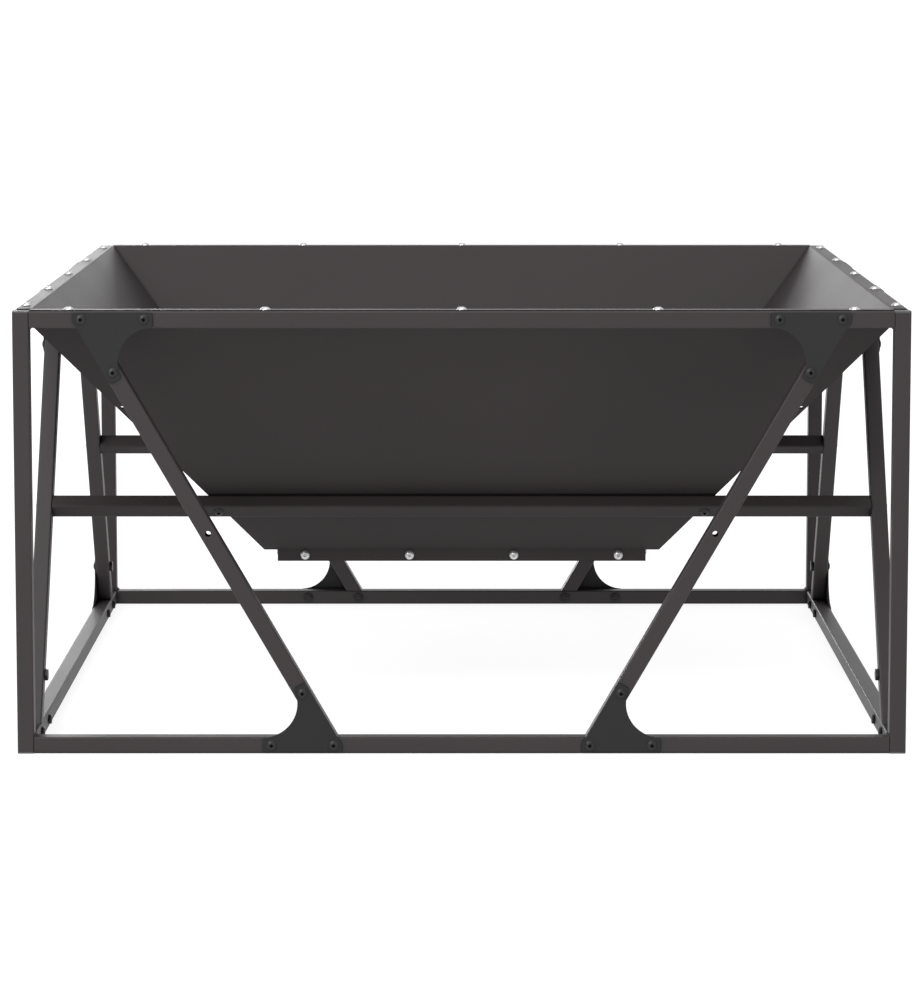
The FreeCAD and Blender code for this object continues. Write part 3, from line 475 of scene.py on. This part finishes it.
def frame_welds():
    """Short fillets where the front and rear rails meet the posts."""
    chance = random.Random(FRAME_SEED)
    mesh = bmesh.new()
    for side in ("front", "rear"):
        for level, up in (("top", -1), ("bottom", 1)):
            low, high = box_of(f"{level}_rail_{side}")
            height = low.z if up < 0 else high.z
            for x, inward in ((low.x, 1), (high.x, -1)):
                start = Vector((x, low.y + FRAME_BEAD_INSET, height))
                end = Vector((x, high.y - FRAME_BEAD_INSET, height))
                faces = (Vector((inward, 0, 0)), Vector((0, 0, up)))
                add_bead(mesh, start, end, faces, FRAME_BEAD_LEG, chance)
    new_piece("frame_welds", mesh, "frame_coat", "stand")


def grate_welds():
    """Fillets at both ends of every rod, and under the rods on the two supports."""
    chance = random.Random(GRATE_SEED)
    mesh = bmesh.new()
    low, _ = box_of("grate_frame")
    rods_low, rods_high = box_of("grate_bars")
    flat = rods_low.y - low.y
    rod = rods_high.z - rods_low.z
    pitch = (rods_high.x - rods_low.x - rod) / (ROD_COUNT - 1)
    start_out, start_up = ROD_BEAD_START
    end_out, end_down = ROD_BEAD_END
    slant_out, slant_up = ROD_BEAD_SLANT
    for i in range(ROD_COUNT):
        x = rods_low.x + rod / 2 + i * pitch
        for y, inward in ((rods_low.y, 1), (rods_high.y, -1)):
            for side in (-1, 1):
                start = Vector((x + side * rod * start_out, y, rods_low.z + rod * start_up))
                end = Vector((x + side * rod * end_out, y, rods_high.z - rod * end_down))
                faces = (Vector((0, inward, 0)), Vector((side * slant_out, 0, slant_up)))
                add_bead(mesh, start, end, faces, ROD_BEAD_LEG, chance)
    for out in (-1, 1):
        y = out * (rods_high.y / SUPPORT_PLACE + flat / 2)
        for i in range(0, ROD_COUNT, SUPPORT_STRIDE):
            x = rods_low.x + rod / 2 + i * pitch
            start = Vector((x - SUPPORT_BEAD_HALF, y, rods_low.z))
            end = Vector((x + SUPPORT_BEAD_HALF, y, rods_low.z))
            faces = (Vector((0, out, 0)), Vector((0, 0, -1)))
            add_bead(mesh, start, end, faces, SUPPORT_BEAD_LEG, chance)
    new_piece("grate_welds", mesh, "grate_steel", "grate")


# ------------------------------------------------------------------ studio

# The sheet lies just under the feet, and gives off light so that it stays white.
FLOOR_HALF_WIDTH = 14.0
FLOOR_SQUARES = 8
FLOOR_DROP = 0.2 * MM
FLOOR_GLOW = 0.87

# Each light's place, the point it aims at, its width, its height and its power in watts.
LIGHTS = {
    "key_upper_left": ((-2.2, -2.8, 2.9), (0, 0, 0.2), 1.8, 1.8, 115),
    "box_back_left": ((-2.1, 4.7, 1.15), (0.2, 0, 0.35), 2.7, 1.3, 30),
    "low_panel_left": ((-1.5, 5.0, 0.7), (-0.3, 0, 0.4), 1.7, 1.0, 25),
    "low_panel_back": ((0.0, 5.2, 0.6), (0, 0, 0.4), 7.0, 0.9, 42),
    "box_above": ((0.0, -0.7, 3.3), (0, 0.1, 0.2), 2.2, 2.2, 42),
}

# The air's light on the fire pit, and how bright it looks behind it.
AIR_GLOW = 0.83
AIR_SEEN = 1.05

CAMERA_PLACE = (0, -3.6031, 0.6939)
CAMERA_TILT_DOWN = 6.329
CAMERA_LENS = 130.30
CAMERA_SENSOR = 36.0
CAMERA_SHIFT = (0.0003, -0.12)
CAMERA_REACH = 100


def floor_sheet():
    mesh = bmesh.new()
    bmesh.ops.create_grid(
        mesh, x_segments=FLOOR_SQUARES, y_segments=FLOOR_SQUARES, size=FLOOR_HALF_WIDTH
    )
    data = bpy.data.meshes.new("studio_floor")
    mesh.to_mesh(data)
    mesh.free()
    floor = bpy.data.objects.new("studio_floor", data)
    floor.location = (0, 0, -FLOOR_DROP)
    bpy.context.scene.collection.objects.link(floor)
    paint = Finish("studio_white")
    mottle = paint.noise(3.0, 2.0, 0.5)
    paint.set(
        Base_Color=paint.tint(mottle, grey(0.20), grey(0.22)),
        Roughness=0.9,
        Specular_IOR_Level=0.1,
        Emission_Color=WHITE,
        Emission_Strength=FLOOR_GLOW,
    )
    data.materials.append(paint.material)


def soft_light(name, place, aim, width, height, power):
    data = bpy.data.lights.new(name, "AREA")
    data.shape = "RECTANGLE"
    data.size = width
    data.size_y = height
    data.energy = power
    light = bpy.data.objects.new(name, data)
    light.location = place
    direction = Vector(aim) - Vector(place)
    light.rotation_euler = direction.to_track_quat("-Z", "Y").to_euler()
    bpy.context.scene.collection.objects.link(light)


def studio_air():
    """Plain white air: one brightness for the light it gives, another for how it looks."""
    world = bpy.data.worlds.new("studio_air")
    bpy.context.scene.world = world
    air = Nodes(world, "ShaderNodeOutputWorld")
    grain_and_edge_highlight = air.add("ShaderNodeBackground", {}, {"Color": WHITE, "Strength": AIR_GLOW})
    seen = air.add("ShaderNodeBackground", {}, {"Color": WHITE, "Strength": AIR_SEEN})
    looked_at = air.add("ShaderNodeLightPath", {}, {}, "Is Camera Ray")
    air.show(air.add("ShaderNodeMixShader", {}, {0: looked_at, 1: grain_and_edge_highlight, 2: seen}))


def place_camera():
    """Level with a person kneeling in front: a long lens, looking a little down."""
    data = bpy.data.cameras.new("camera")
    data.lens = CAMERA_LENS
    data.sensor_width = CAMERA_SENSOR
    data.shift_x, data.shift_y = CAMERA_SHIFT
    data.clip_end = CAMERA_REACH
    camera = bpy.data.objects.new("camera", data)
    camera.location = CAMERA_PLACE
    camera.rotation_euler = (math.radians(90 - CAMERA_TILT_DOWN), 0, 0)
    bpy.context.scene.collection.objects.link(camera)
    bpy.context.scene.camera = camera


finish_solid_parts()
frame_welds()
grate_welds()
floor_sheet()
for light_name, light_values in LIGHTS.items():
    soft_light(light_name, *light_values)
studio_air()
place_camera()
bpy.context.scene.view_settings.view_transform = "Standard"
